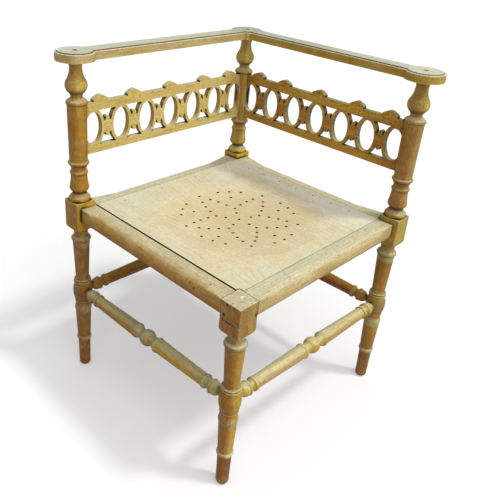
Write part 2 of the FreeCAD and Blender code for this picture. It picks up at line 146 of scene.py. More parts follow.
class ChairColours(bpy.types.PropertyGroup):
    cream: colour("Rail Top", "Scrubbed greenish cream of the seat rail tops", (212, 206, 172))
    arm_cream: colour("Arm Top", "Greyish cream of the arm tops", (204, 210, 194))
    straw: colour("Straw", "Pale sawn wood of the left pierced rail", (218, 198, 124))
    ochre: colour("Ochre", "Golden wood of the posts, front leg and right pierced rail", (204, 160, 52))
    sand: colour("Sand", "Paler tan of the rails, front right stretcher and left arm", (208, 186, 130))
    olive: colour("Olive", "Greenish brown of the right block, back shaft and right arm", (196, 172, 66))
    honey: colour("Honey", "Brown of the right and back legs and of the darker bands", (176, 134, 46))
    fawn: colour("Fawn", "Greyish brown of the right shaft, front block and front left rail", (184, 150, 76))
    moss: colour("Moss", "Grey green of sawn walls and of the film on the arms", (124, 124, 88))
    chestnut: colour("Chestnut", "Darker brown of the left leg", (156, 122, 64))
    ring: colour("Ring", "Grey green of the rings and collars of the legs", (190, 184, 122))
    ring_gold: colour("Gold Ring", "Yellow green of the rings above the leg balls", (214, 192, 88))
    # Partly a painted highlight on the upper vases.
    vase_and_highlight: colour("Vase", "Rubbed golden cream of the upper turned vases", (226, 194, 92))
    yellow: colour("Yellow", "Yellow faces of the post blocks", (232, 194, 30))
    # Russet is painted shade on the back stretchers, on faces that look left and towards the lower edges of
    # rails.
    russet: colour("Russet", "Red brown of the feet, back stretchers and shaded faces", (142, 86, 26))
    underside_shade: colour("Underside", "Dark red brown of the undersides", (82, 40, 18))
    # Painted shade on faces that look down and in sheltered places.
    dusk: colour("Dusk", "Grey green film on turned edges that face up", (192, 188, 138))
    # Also used for painted highlights along edges and on the ring above each foot.
    worn: colour("Worn Edge", "Cream of edges rubbed bare", (226, 216, 164))
    # Also painted shade in hollows and in the holes of the seat board.
    grime_and_shade: colour("Grime", "Dirt in grooves and pores", (44, 30, 12))
    board: colour("Seat Board", "Cream of the seat board", (228, 217, 178))
    board_tan: colour("Seat Board Middle", "Rubbed tan in the middle of the seat board", (218, 200, 154))
    # Made paler as painted light, against the shade that the right arm and pierced rail cast on the board.
    board_cool: colour("Seat Board Edge", "Cool grey green at the edges of the seat board", (222, 221, 196))
    # Partly painted light, against the shade that the right arm and pierced rail cast on the board.
    board_bleached_and_lit: colour("Seat Board Bleached", "Bleached right side of the seat board", (246, 244, 228))
    board_line: colour("Seat Board Grain", "Orange brown lines of the curly grain", (190, 154, 104))
    fleck: colour("Paint Fleck", "Small flecks of white paint", (246, 244, 232))
    board_fleck: colour("Seat Board Fleck", "Pale flecks on the seat board", (240, 238, 226))
    hole: colour("Old Nail Hole", "Dark inside of old nail holes and of the split", (40, 22, 10))
    scar: colour("Scar", "Brown dents in the front left rail", (92, 52, 24))
    steel: colour("Steel", "Dull steel of nails and screws", (56, 48, 38))
    rust: colour("Rust", "Brown rust on nails and screws", (60, 36, 22))


class ChairSizes(bpy.types.PropertyGroup):
    ball: length("Stretcher Ball", "Diameter of the ball in the middle of a stretcher", 34.4)
    collar: length("Stretcher Collar", "Diameter of the collars beside the ball", 32.0)
    ring: length("Stretcher Ring", "Diameter of the ring near each end", 29.0)
    bulb: length("Stretcher Bulb", "Diameter of the bulb at each end", 29.8)
    stretcher_height: length("Stretcher Height", "Height of the stretcher axes", 208.0)
    around: bpy.props.IntProperty(name="Facets Around", description="Faces round a turned stick",
                                  default=56, min=12, max=128)
    nail_head: length("Nail Head", "Diameter of a nail head", 3.5)
    nail_thick: length("Nail Thickness", "How thick a nail head is", 0.8)
    nail_ease: length("Nail Ease", "Rounding of a nail head", 0.3)


class ChairStage(bpy.types.PropertyGroup):
    key: bpy.props.FloatProperty(name="Key Light", description="Strength of the sun that draws the shadow",
                                 default=1.1, min=0.0)
    front: bpy.props.FloatProperty(name="Front Light", description="Strength of the wide sun from the front",
                                   default=1.45, min=0.0)
    fill: bpy.props.FloatProperty(name="Fill Light", description="Strength of the even studio light",
                                  default=0.44, min=0.0)
    key_angle: bpy.props.FloatProperty(name="Key Softness", description="Angle the small sun takes up",
                                       subtype="ANGLE", default=math.radians(7), min=0.0)
    front_angle: bpy.props.FloatProperty(name="Front Softness", description="Angle the wide sun takes up",
                                         subtype="ANGLE", default=math.radians(70), min=0.0)
    floor_depth: bpy.props.FloatProperty(name="Shadow Depth", description="Share of the floor taking shade",
                                         subtype="FACTOR", default=0.74, min=0.0, max=1.0)


def colours():
    return bpy.context.scene.chair_colours


def sizes():
    return bpy.context.scene.chair_sizes


# Nodes

NUMBER, VECTOR, SHAPE = "NodeSocketFloat", "NodeSocketVector", "NodeSocketGeometry"
COUNT, FINISH = "NodeSocketInt", "NodeSocketMaterial"


def put(tree, kind, links=None, **settings):
    """New node with its settings, and its inputs linked or set."""
    node = tree.nodes.new(kind)
    for key, value in settings.items():
        setattr(node, key, value)
    for key, value in (links or {}).items():
        socket = node.inputs[key]
        if isinstance(value, bpy.types.NodeSocket):
            tree.links.new(value, socket)
        else:
            socket.default_value = value
    return node


def maths(tree, operation, *values):
    node = put(tree, "ShaderNodeMath", dict(enumerate(values)), operation=operation)
    return node.outputs[0]


def vector_maths(tree, operation, *values):
    node = put(tree, "ShaderNodeVectorMath", dict(enumerate(values)), operation=operation)
    return node.outputs[0]


def scaled(tree, vector, by):
    return put(tree, "ShaderNodeVectorMath", {0: vector, "Scale": by}, operation="SCALE").outputs[0]


def distance(tree, vector):
    return put(tree, "ShaderNodeVectorMath", {0: vector}, operation="LENGTH").outputs["Value"]


def grey_of(tree, value):
    return put(tree, "ShaderNodeCombineColor", {0: value, 1: value, 2: value}).outputs[0]


def mixed(tree, factor, first, second, blend="MIX"):
    """Colour mix; first and second are sockets or colours."""
    def full(value):
        return value if isinstance(value, bpy.types.NodeSocket) else tuple(value)[:3] + (1.0,)
    node = put(tree, "ShaderNodeMix", {0: factor, 6: full(first), 7: full(second)},
               data_type="RGBA", blend_type=blend, clamp_factor=True)
    return node.outputs[2]


def eased(tree, value, low, high, to_low=0.0, to_high=1.0):
    """Smooth step from to_low to to_high while value runs from low to high."""
    node = put(tree, "ShaderNodeMapRange", {"Value": value, "From Min": low, "From Max": high,
                                            "To Min": to_low, "To Max": to_high},
               interpolation_type="SMOOTHSTEP", clamp=True)
    return node.outputs["Result"]


def noise(tree, vector, scale, detail=2.0, rough=0.5):
    node = put(tree, "ShaderNodeTexNoise", {"Vector": vector, "Scale": scale, "Detail": detail,
                                            "Roughness": rough})
    return node.outputs["Fac"]


def mapped(tree, vector, location=(0, 0, 0), rotation=(0, 0, 0), scale=(1, 1, 1)):
    node = put(tree, "ShaderNodeMapping", {"Vector": vector, "Location": location,
                                           "Rotation": rotation, "Scale": scale})
    return node.outputs[0]


def new_group(name, kind, sockets_in, sockets_out):
    """Node group with named inputs and outputs; returns the tree, its input and its output node."""
    tree = bpy.data.node_groups.new(name, kind)
    for label, socket, default in sockets_in:
        made = tree.interface.new_socket(label, in_out="INPUT", socket_type=socket)
        if default is not None:
            made.default_value = default
    for label, socket in sockets_out:
        tree.interface.new_socket(label, in_out="OUTPUT", socket_type=socket)
    return tree, tree.nodes.new("NodeGroupInput"), tree.nodes.new("NodeGroupOutput")


def close_group(tree, out, values):
    for label, socket in values.items():
        tree.links.new(socket, out.inputs[label])
    return tree


def close_shape(tree, start, out, shape):
    """Ends a Geometry Nodes tree with its shape made real and given its material."""
    real = put(tree, "GeometryNodeRealizeInstances", {"Geometry": shape}).outputs[0]
    done = put(tree, "GeometryNodeSetMaterial", {"Geometry": real, "Material": start.outputs["Material"]})
    return close_group(tree, out, {"Geometry": done.outputs[0]})


def grain_group():
    """Bands, fibre and pores of wood whose grain runs along X."""
    tree, start, out = new_group(
        "Wood Grain", "ShaderNodeTree",
        [("Vector", VECTOR, None), ("Wander", NUMBER, 0.02), ("Band Scale", NUMBER, 30.0)],
        [("Bands", NUMBER), ("Fibre", NUMBER), ("Pores", NUMBER)])
    place = start.outputs["Vector"]
    drift = put(tree, "ShaderNodeTexNoise", {"Vector": place, "Scale": 5.0, "Detail": 1.0}).outputs["Color"]
    drift = vector_maths(tree, "SUBTRACT", drift, (0.5, 0.5, 0.5))
    place = vector_maths(tree, "ADD", place, scaled(tree, drift, start.outputs["Wander"]))
    long = mapped(tree, place, scale=(0.045, 1.0, 1.0))
    bands = noise(tree, long, start.outputs["Band Scale"], 3.0, 0.55)
    fibre = noise(tree, mapped(tree, place, scale=(0.03, 1.0, 1.0)), 420.0, 2.0, 0.6)
    pores = noise(tree, mapped(tree, place, scale=(0.05, 1.0, 1.0)), 620.0, 1.0, 0.5)
    return close_group(tree, out, {
        "Bands": eased(tree, bands, 0.34, 0.66),
        "Fibre": fibre,
        "Pores": eased(tree, pores, 0.62, 0.72),
    })


def weather_and_shade_group():
    """Where a surface faces up, down or left, and patches, blotches and specks of aged wood; Down and Left
    carry painted shade.
    """
    tree, start, out = new_group(
        "Weathering_and_Painted_Shade", "ShaderNodeTree",
        [("Vector", VECTOR, None), ("Wash From", NUMBER, 0.3), ("Wash To", NUMBER, 0.9)],
        [("Wash", NUMBER), ("Down", NUMBER), ("Left", NUMBER), ("Patches", NUMBER), ("Blotches", NUMBER),
         ("Mottle", NUMBER), ("Specks", NUMBER)])
    place = start.outputs["Vector"]
    facing = put(tree, "ShaderNodeSeparateXYZ", {0: put(tree, "ShaderNodeNewGeometry").outputs["Normal"]})
    patches = noise(tree, place, 9.0, 3.0, 0.6)
    blotches = noise(tree, place, 42.0, 3.0, 0.65)
    mottle = noise(tree, place, 210.0, 3.0, 0.7)
    specks = noise(tree, place, 260.0, 1.0, 0.4)
    ragged = maths(tree, "MULTIPLY", maths(tree, "SUBTRACT", blotches, 0.5), 0.45)
    up = maths(tree, "ADD", facing.outputs["Z"], ragged)
    return close_group(tree, out, {
        "Wash": eased(tree, up, start.outputs["Wash From"], start.outputs["Wash To"]),
        "Down": eased(tree, facing.outputs["Z"], -0.15, -0.75),
        "Left": eased(tree, facing.outputs["X"], -0.35, -0.9),
        "Patches": eased(tree, patches, 0.38, 0.64),
        "Blotches": eased(tree, blotches, 0.45, 0.66),
        "Mottle": eased(tree, mottle, 0.3, 0.7),
        "Specks": eased(tree, specks, 0.71, 0.78),
    })


def edge_group():
    """Masks of rubbed edges, also painted highlights; of hollows, for dirt and painted shade; and of shelter,
    for painted shade.
    """
    tree, start, out = new_group(
        "Edges and Hollows", "ShaderNodeTree",
        [("Edge Reach", NUMBER, 0.003), ("Hollow Reach", NUMBER, 0.009)],
        [("Edge", NUMBER), ("Hollow", NUMBER), ("Shelter", NUMBER)])
    inside = put(tree, "ShaderNodeAmbientOcclusion", {"Distance": start.outputs["Edge Reach"]},
                 inside=True, samples=8).outputs["AO"]
    outside = put(tree, "ShaderNodeAmbientOcclusion", {"Distance": start.outputs["Hollow Reach"]},
                  samples=8).outputs["AO"]
    return close_group(tree, out, {
        "Edge": eased(tree, inside, 0.80, 0.45),
        "Hollow": eased(tree, outside, 0.90, 0.52),
        "Shelter": eased(tree, outside, 0.98, 0.6),
    })


def spot_group():
    """Mask of one small mark around a place on the surface, with ragged edges."""
    tree, start, out = new_group(
        "Spot", "ShaderNodeTree",
        [("Vector", VECTOR, None), ("Centre", VECTOR, (0, 0, 0)), ("Size", VECTOR, (0.004, 0.004, 0.004))],
        [("Mask", NUMBER)])
    offset = vector_maths(tree, "SUBTRACT", start.outputs["Vector"], start.outputs["Centre"])
    ratio = vector_maths(tree, "DIVIDE", offset, start.outputs["Size"])
    rough = maths(tree, "SUBTRACT", noise(tree, start.outputs["Vector"], 700.0), 0.5)
    reach = maths(tree, "ADD", distance(tree, ratio), maths(tree, "MULTIPLY", rough, 0.9))
    return close_group(tree, out, {"Mask": eased(tree, reach, 1.0, 0.55)})


def use(tree, name, links):
    """Puts a shared node group in a material, with its own values."""
    node = tree.nodes.new("ShaderNodeGroup")
    node.node_tree = bpy.data.node_groups[name]
    for key, value in links.items():
        if isinstance(value, bpy.types.NodeSocket):
            tree.links.new(value, node.inputs[key])
        else:
            node.inputs[key].default_value = value
    return node.outputs


# Turns that lay the grain along each axis
TURN = {"X": (0, 0, 0), "Y": (0, 0, -math.pi / 2), "Z": (0, math.pi / 2, 0)}
WOOD_SHINE = 0.22
# Full strength of the painted shade on undersides
FULL_UNDERSIDE_SHADE = 0.85


def along_ramp(tree, place, axis, stops):
    """Colour that changes along one axis, from (place, colour) stops."""
    low, high = stops[0][0], stops[-1][0]
    value = put(tree, "ShaderNodeSeparateXYZ", {0: place}).outputs[axis]
    share = put(tree, "ShaderNodeMapRange", {"Value": value, "From Min": low, "From Max": high}).outputs[0]
    ramp = put(tree, "ShaderNodeValToRGB", {"Fac": share})
    elements = ramp.color_ramp.elements
    elements[1].position = 1.0
    for index, (where, stop_colour) in enumerate(stops):
        at = (where - low) / (high - low)
        if 0 < index < len(stops) - 1:
            element = elements.new(at)
        else:
            element = elements[0 if index == 0 else len(elements) - 1]
        element.position = at
        element.color = tuple(stop_colour) + (1.0,)
    return ramp.outputs["Color"]


def weighted(tree, *values):
    """Product of several masks or numbers."""
    total = values[0]
    for value in values[1:]:
        total = maths(tree, "MULTIPLY", total, value)
    return total


def laid(tree, tone, over, *masks):
    """A tone with another colour over it, as strong as the product of masks and numbers."""
    return mixed(tree, weighted(tree, *masks), tone, over)


def wood_skin(tree, tone, finish, relief, depth, strength):
    """Surface of bare wood with a fine relief."""
    bump = put(tree, "ShaderNodeBump", {"Strength": strength, "Distance": depth, "Height": relief})
    skin = put(tree, "ShaderNodeBsdfPrincipled", {
        "Base Color": tone, "Roughness": finish, "Normal": bump.outputs["Normal"],
        "Specular IOR Level": WOOD_SHINE})
    put(tree, "ShaderNodeOutputMaterial", {"Surface": skin.outputs[0]})


def bare_material(name):
    """Material without nodes, and its tree."""
    material = bpy.data.materials.new(name)
    material.use_nodes = True
    material.node_tree.nodes.clear()
    return material, material.node_tree


def wood(name, grain, base, dark, top, stops=None, spots=(), offset=0.0, rough=0.5, wash=0.8,
         wash_from=0.3, wash_to=0.9, left=0.35, band=0.6, wander=0.02, edge=0.5, hollow=0.85, shelter=0.45,
         mottle=0.13, low_edge=None, reach=0.009, stop_axis="Z", wall=None, underside_shade=FULL_UNDERSIDE_SHADE):
    """Old bare wood with its grain along one axis.

    base, dark and top are the colours of the wood, its darker bands and its washed upper faces.
    stops changes the base colour along stop_axis, and spots are (centre, size, colour, strength) marks.
    wash is the strength of top on faces that look up by more than wash_from, and in full from wash_to.
    left, band, edge, hollow, shelter, mottle and under are the strengths of russet on faces that look left,
    which is painted shade, of the bands, of rubbed edges that are also painted highlights, of dirt and
    painted shade in hollows, of painted shade around them, of fine mottle and of brown undersides, which are
    painted shade.
    offset moves the grain, so that it differs from piece to piece.
    low_edge is (from, to) heights between which a face turns brown towards its lower edge, as painted shade,
    and wall is (axis, colour, strength) of the sides of a board whose broad faces look along that axis.
    """
    hue = colours()
    material, tree = bare_material(name)
    place = put(tree, "ShaderNodeTexCoord").outputs["Object"]
    turned = mapped(tree, place, location=(offset, offset * 0.37, 0), rotation=TURN[grain])
    figure = use(tree, "Wood Grain", {"Vector": turned, "Wander": wander, "Band Scale": 30.0})
    aged_and_shaded = use(tree, "Weathering_and_Painted_Shade", {"Vector": turned, "Wash From": wash_from, "Wash To": wash_to})
    wear_and_shading = use(tree, "Edges and Hollows", {"Edge Reach": 0.003, "Hollow Reach": reach})
    if stops:
        base = along_ramp(tree, place, stop_axis, stops)
    tone = laid(tree, base, dark, figure["Bands"], band)
    tone = laid(tree, tone, dark, aged_and_shaded["Patches"], 0.35)
    # Painted shade: russet on faces that look left.
    tone = laid(tree, tone, hue.russet, aged_and_shaded["Left"], left)
    if wall:
        facing = put(tree, "ShaderNodeSeparateXYZ", {0: put(tree, "ShaderNodeNewGeometry").outputs["Normal"]})
        broad = maths(tree, "ABSOLUTE", facing.outputs[wall[0]])
        tone = mixed(tree, eased(tree, broad, 0.3, 0.7, wall[2], 0.0), tone, wall[1])
    # Painted shade: brown towards the lower edge of a face.
    if low_edge:
        height = put(tree, "ShaderNodeSeparateXYZ", {0: place}).outputs["Z"]
        tone = mixed(tree, eased(tree, height, low_edge[0], low_edge[1], 0.0, 0.75), tone, hue.russet)
    tone = laid(tree, tone, top, aged_and_shaded["Wash"], wash, eased(tree, figure["Bands"], 0.0, 1.0, 1.0, 0.78))
    # Painted shade: dark red brown on faces that look down.
    tone = laid(tree, tone, hue.underside_shade, aged_and_shaded["Down"], underside_shade)
    tone = laid(tree, tone, hue.dusk, aged_and_shaded["Blotches"], 0.16)
    grey = maths(tree, "MULTIPLY", eased(tree, figure["Fibre"], 0.25, 0.75, 0.86, 1.1),
                 eased(tree, aged_and_shaded["Mottle"], 0.0, 1.0, 1.0 - mottle, 1.0 + mottle * 0.5))
    tone = mixed(tree, 1.0, tone, grey_of(tree, grey), "MULTIPLY")
    # Painted shade: dark red brown in the shelter around hollows and where pieces meet.
    tone = laid(tree, tone, hue.underside_shade, wear_and_shading["Shelter"], shelter)
    # Pale rubbed edges, which also serve as painted highlights.
    tone = laid(tree, tone, hue.worn, wear_and_shading["Edge"], edge, eased(tree, aged_and_shaded["Blotches"], 0.0, 1.0, 1.0, 0.3),
                maths(tree, "SUBTRACT", 1.0, wear_and_shading["Shelter"]))
    # Dirt in hollows, deepened into painted shade.
    tone = laid(tree, tone, hue.grime_and_shade, wear_and_shading["Hollow"], hollow)
    tone = laid(tree, tone, hue.grime_and_shade, figure["Pores"], 0.3)
    tone = laid(tree, tone, hue.grime_and_shade, aged_and_shaded["Specks"], 0.55)
    for centre, size, mark_colour, strength in spots:
        mask = use(tree, "Spot", {"Vector": place, "Centre": centre, "Size": size})["Mask"]
        tone = laid(tree, tone, mark_colour, mask, strength)
    finish = maths(tree, "ADD", weighted(tree, figure["Fibre"], 0.2), rough - 0.1)
    relief = maths(tree, "SUBTRACT", maths(tree, "ADD", figure["Fibre"], weighted(tree, aged_and_shaded["Mottle"], 0.6)),
                   weighted(tree, figure["Pores"], 0.8))
    wood_skin(tree, tone, finish, relief, 0.0005, 0.4)
    return material


def board_wood(name):
    """Thin veneered board with curly grain along Y, tan in the middle and bleached on the right, partly as
    painted light.
    """
    hue = colours()
    material, tree = bare_material(name)
    place = put(tree, "ShaderNodeTexCoord").outputs["Object"]
    turned = mapped(tree, place, location=(3.3, 1.7, 0), rotation=TURN["Y"])
    figure = use(tree, "Wood Grain", {"Vector": turned, "Wander": 0.05, "Band Scale": 26.0})
    aged_and_shaded = use(tree, "Weathering_and_Painted_Shade", {"Vector": turned, "Wash From": 0.2, "Wash To": 0.9})
    wear_and_shading = use(tree, "Edges and Hollows", {"Edge Reach": 0.002, "Hollow Reach": 0.014})
    offset = vector_maths(tree, "SUBTRACT", place, DISH_CENTRE)
    radius = distance(tree, offset)
    cloud = maths(tree, "MULTIPLY", maths(tree, "SUBTRACT", noise(tree, place, 11.0, 4.0, 0.6), 0.5), 0.34)
    middle = eased(tree, maths(tree, "ADD", radius, cloud), 0.18, 0.04)
    outer = eased(tree, maths(tree, "ADD", radius, cloud), 0.15, 0.25)
    tone = mixed(tree, middle, hue.board, hue.board_tan)
    # Cool outer ring, made paler as painted light against the cast shade of the right arm and pierced rail.
    tone = laid(tree, tone, hue.board_cool, outer, 0.7)
    # Bleached right side, partly painted light against the same cast shade.
    across = put(tree, "ShaderNodeSeparateXYZ", {0: place}).outputs["X"]
    bleached_and_lit = eased(tree, maths(tree, "ADD", across, cloud), 0.09, 0.18)
    tone = laid(tree, tone, hue.board_bleached_and_lit, bleached_and_lit, 0.6)
    tone = laid(tree, tone, hue.board_tan, figure["Bands"], 0.3)
    worn = eased(tree, noise(tree, place, 13.0, 5.0, 0.65), 0.5, 0.66)
    tone = laid(tree, tone, hue.board_tan, worn, 0.55)
    curl = put(tree, "ShaderNodeTexNoise", {"Vector": turned, "Scale": 7.0, "Detail": 1.0}).outputs["Color"]
    curl = vector_maths(tree, "SUBTRACT", curl, (0.5, 0.5, 0.5))
    bent = vector_maths(tree, "ADD", turned, scaled(tree, curl, 0.09))
    waves = put(tree, "ShaderNodeTexWave", {
        "Vector": mapped(tree, bent, scale=(0.12, 1.0, 1.0)), "Scale": 26.0, "Distortion": 2.5, "Detail": 2.0,
        "Detail Scale": 1.6, "Detail Roughness": 0.5}, bands_direction="Y").outputs["Fac"]
    fade = eased(tree, noise(tree, place, 16.0, 2.0, 0.5), 0.42, 0.6)
    tone = laid(tree, tone, hue.board_line, eased(tree, waves, 0.82, 0.99), fade, 0.28)
    tone = laid(tree, tone, hue.board_cool, aged_and_shaded["Blotches"], 0.2)
    grey = maths(tree, "MULTIPLY", eased(tree, figure["Fibre"], 0.25, 0.75, 0.95, 1.03),
                 eased(tree, aged_and_shaded["Mottle"], 0.0, 1.0, 0.91, 1.04))
    tone = mixed(tree, 1.0, tone, grey_of(tree, grey), "MULTIPLY")
    flecks = eased(tree, noise(tree, place, 95.0, 1.0, 0.4), 0.72, 0.76)
    tone = laid(tree, tone, hue.board_fleck, flecks, 0.6)
    # Pale rubbed edges and hole rims, partly painted highlights.
    tone = laid(tree, tone, hue.worn, wear_and_shading["Edge"], 0.3)
    # Painted shade on the board's underside.
    tone = laid(tree, tone, hue.underside_shade, aged_and_shaded["Down"], FULL_UNDERSIDE_SHADE)
    # Painted shade, with some dirt, in the holes, along the gaps and where the board meets the rails.
    tone = laid(tree, tone, hue.grime_and_shade, wear_and_shading["Shelter"], 0.95)
    tone = laid(tree, tone, hue.grime_and_shade, aged_and_shaded["Specks"], 0.35)
    finish = maths(tree, "ADD", weighted(tree, figure["Fibre"], 0.2), 0.42)
    wood_skin(tree, tone, finish, figure["Fibre"], 0.0004, 0.3)
    return material


def steel(name):
    """Dull dark steel with brown rust."""
    hue = colours()
    material, tree = bare_material(name)
    place = put(tree, "ShaderNodeTexCoord").outputs["Object"]
    rust = eased(tree, noise(tree, place, 900.0, 3.0, 0.6), 0.4, 0.62)
    tone = mixed(tree, rust, hue.steel, hue.rust)
    skin = put(tree, "ShaderNodeBsdfPrincipled", {
        "Base Color": tone, "Metallic": maths(tree, "SUBTRACT", 0.5, maths(tree, "MULTIPLY", rust, 0.4)),
        "Roughness": maths(tree, "ADD", 0.45, maths(tree, "MULTIPLY", rust, 0.35))})
    put(tree, "ShaderNodeOutputMaterial", {"Surface": skin.outputs[0]})
    return material


def dress(node_name, material):
    """Gives a CAD node its finish."""
    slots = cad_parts[node_name].material_slots
    for slot in slots:
        slot.link = "OBJECT"
        slot.material = material
    if not slots:
        raise RuntimeError("%s has no material slot" % node_name)


def shown(name, data):
    """New object in the scene, at the origin."""
    thing = bpy.data.objects.new(name, data)
    bpy.context.scene.collection.objects.link(thing)
    return thing


def points_mesh(name, points, directions=None):
    """Mesh of bare points, each with the direction it faces."""
    mesh = bpy.data.meshes.new(name)
    mesh.from_pydata([tuple(point) for point in points], [], [])
    if directions:
        facing = mesh.attributes.new("facing", "FLOAT_VECTOR", "POINT")
        facing.data.foreach_set("vector", [part for way in directions for part in way])
    return mesh


def grown(name, mesh, tree, inputs):
    """Piece made by a Geometry Nodes tree from a starting mesh, as a plain mesh."""
    thing = shown(name, mesh)
    modifier = thing.modifiers.new("Growth", "NODES")
    modifier.node_group = tree
    keys = {item.name: item.identifier for item in tree.interface.items_tree
            if item.item_type == "SOCKET" and item.in_out == "INPUT"}
    for label, value in inputs.items():
        modifier[keys[label]] = value
    graph = bpy.context.evaluated_depsgraph_get()
    made = bpy.data.meshes.new_from_object(thing.evaluated_get(graph))
    thing.modifiers.remove(modifier)
    thing.data = made
    made.name = name
    if not made.polygons:
        raise RuntimeError("%s came out empty" % name)
    return thing


def stand_for(piece, node_names):
    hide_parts(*node_names)
    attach(piece, "root")


# Turned stretchers

CURVE_STEPS = 6
SHARP_ANGLE = math.radians(32)


class Outline:
    """Half outline of a turned stick as (place, radius) points, drawn in millimetres."""

    def __init__(self, place, dia):
        self.points = [(place, dia / 2)]

    def line(self, place, dia):
        self.points.append((place, dia / 2))

    def arc(self, mid_place, mid_dia, place, dia):
        x0, y0 = self.points[-1]
        x1, y1 = mid_place, mid_dia / 2
        x2, y2 = place, dia / 2
        for step in range(1, CURVE_STEPS + 1):
            t = step / CURVE_STEPS
            a, b, c = 2 * (t - 0.5) * (t - 1), 4 * t * (1 - t), 2 * t * (t - 0.5)
            self.points.append((a * x0 + b * x1 + c * x2, a * y0 + b * y1 + c * y2))

    def bead(self, place, dia):
        start, low = self.points[-1]
        middle, half = (start + place) / 2, (place - start) / 2
        for step in range(1, CURVE_STEPS + 1):
            angle = math.pi * step / CURVE_STEPS
            self.points.append((middle - half * math.cos(angle), low + (dia / 2 - low) * math.sin(angle)))


def stretcher_outline(half):
    """Outline from the middle to one end, half the length away, in millimetres."""
    size = sizes()
    ball, collar, ring, bulb = (value / MM for value in (size.ball, size.collar, size.ring, size.bulb))
    line = Outline(0, ball)
    line.arc(7.5, ball * 0.9, 11.5, ball * 0.686)
    line.arc(15.5, 21, 19, 22.4)
    line.arc(24, 25, 28, 29.8)
    line.bead(34, collar)
    line.line(34.6, 29.2)
    line.line(half - 63.4, 24.8)
    line.line(half - 63, 26.6)
    line.bead(half - 57, ring)
    line.arc(half - 55.5, 22.6, half - 53, 20)
    line.line(half - 51.5, 20)
    line.arc(half - 48, 22.6, half - 45, 27.4)
    line.bead(half - 41, bulb)
    line.arc(half - 32, 25.6, half - 26, 17)
    line.line(half - 25, 16)
    line.line(half - 12, 16)
    return line.points


def lathe_tree():
    """Turns an outline, given as points (radius, 0, place), about the line from Start to End."""
    tree, start, out = new_group(
        "Turned Stick", "GeometryNodeTree",
        [("Geometry", SHAPE, None), ("Start", VECTOR, (0, 0, 0)), ("End", VECTOR, (0, 0, 1)),
         ("Facets Around", COUNT, 48), ("Material", FINISH, None)],
        [("Geometry", SHAPE)])
    outline = start.outputs["Geometry"]
    facets = start.outputs["Facets Around"]
    count = put(tree, "GeometryNodeAttributeDomainSize", {"Geometry": outline}).outputs["Point Count"]
    columns = maths(tree, "ADD", facets, 1)
    grid = put(tree, "GeometryNodeMeshGrid", {"Vertices X": count, "Vertices Y": columns}).outputs["Mesh"]
    index = put(tree, "GeometryNodeInputIndex").outputs[0]
    row = maths(tree, "FLOOR", maths(tree, "DIVIDE", maths(tree, "ADD", index, 0.5), columns))
    column = maths(tree, "SUBTRACT", index, maths(tree, "MULTIPLY", row, columns))
    angle = maths(tree, "MULTIPLY", maths(tree, "DIVIDE", column, facets), 2 * math.pi)
    position = put(tree, "GeometryNodeInputPosition").outputs[0]
    sampled = put(tree, "GeometryNodeSampleIndex", {"Geometry": outline, "Value": position, "Index": row},
                  data_type="FLOAT_VECTOR").outputs[0]
    parts = put(tree, "ShaderNodeSeparateXYZ", {0: sampled}).outputs
    local = put(tree, "ShaderNodeCombineXYZ", {
        "X": maths(tree, "MULTIPLY", parts["X"], maths(tree, "COSINE", angle)),
        "Y": maths(tree, "MULTIPLY", parts["X"], maths(tree, "SINE", angle)),
        "Z": parts["Z"]}).outputs[0]
    run = vector_maths(tree, "SUBTRACT", start.outputs["End"], start.outputs["Start"])
    tilt = put(tree, "FunctionNodeAlignRotationToVector", {"Vector": run}, axis="Z").outputs[0]
    swung = put(tree, "FunctionNodeRotateVector", {"Vector": local, "Rotation": tilt}).outputs[0]
    middle = vector_maths(tree, "ADD", start.outputs["Start"], scaled(tree, run, 0.5))
    shaped = put(tree, "GeometryNodeSetPosition", {
        "Geometry": grid, "Position": vector_maths(tree, "ADD", swung, middle)}).outputs[0]
    closed = put(tree, "GeometryNodeMergeByDistance", {"Geometry": shaped, "Distance": 1e-5}).outputs[0]
    return close_shape(tree, start, out, closed)


